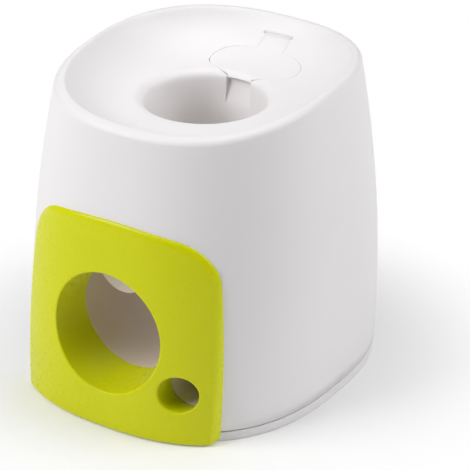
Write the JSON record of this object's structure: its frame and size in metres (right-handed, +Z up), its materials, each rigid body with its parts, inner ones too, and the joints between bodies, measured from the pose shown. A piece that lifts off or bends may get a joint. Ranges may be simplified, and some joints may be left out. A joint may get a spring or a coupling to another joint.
{
  "type": "fetch-and-treat dispenser",
  "caption": "Rounded square housing with a dished top, a round ball bore, a flush treat lid and a coloured front panel with a large ball exit and a small treat outlet.",
  "frame": {"origin": "centre of the housing's footprint, on the surface it stands on", "axes": "+Z up, -Y towards the front with the exit, +X to the object's right seen from above with the front towards the viewer"},
  "size_m": [0.1918, 0.2116, 0.1924],
  "materials": {
    "white_plastic": "satin white moulding",
    "lime_plastic": "satin lime moulding",
    "inner_white": "matt white",
    "inner_grey": "matt grey",
    "gear_plastic": "natural acetal",
    "steel": "zinc plated",
    "rubber": "matt black"
  },
  "bodies": {
    "housing": {"body_shell": "white_plastic", "base_plate": "white_plastic", "front_panel": "lime_plastic", "lid_hinge_pin": "steel", "ball_chute": "inner_white", "treat_chute": "inner_white", "treat_hopper": "inner_white", "drum_housing": "inner_grey", "drum_cover": "inner_grey", "axle_bushes": "gear_plastic", "trigger_spring": "steel", "rubber_feet": "rubber", "shell_screws": "steel", "ball_chute_screws": "steel", "treat_chute_screws": "steel", "drum_housing_screws": "steel", "hopper_screws": "steel", "panel_screws": "steel", "drum_cover_screws": "steel"},
    "lid": {"treat_lid": "white_plastic"},
    "trigger": {"trigger_flap": "inner_white", "trigger_axle": "steel", "sector_gear": "gear_plastic"},
    "drum": {"dosing_drum": "gear_plastic", "drum_shaft": "steel", "drum_gear": "gear_plastic"}
  },
  "joints": [
    {"name": "lid_hinge", "type": "hinge", "parent": "housing", "child": "lid", "pos_m": [0, 0.0765, 0.1748], "axis": [-1, 0, 0], "range_deg": [0, 100]},
    {"name": "trigger_swing", "type": "hinge", "parent": "housing", "child": "trigger", "pos_m": [0, -0.072, 0.11], "axis": [-1, 0, 0], "range_deg": [0, 29], "stiffness_Nm_per_rad": 0.02, "springref_deg": -11.46},
    {"name": "drum_turn", "type": "hinge", "parent": "housing", "child": "drum", "pos_m": [0.06, 0, 0.089], "axis": [1, 0, 0], "range_deg": [0, 105.8]}
  ],
  "couplings": [
    {"joint": "drum_turn", "follows": "trigger_swing", "ratio": 3.6154}
  ]
}
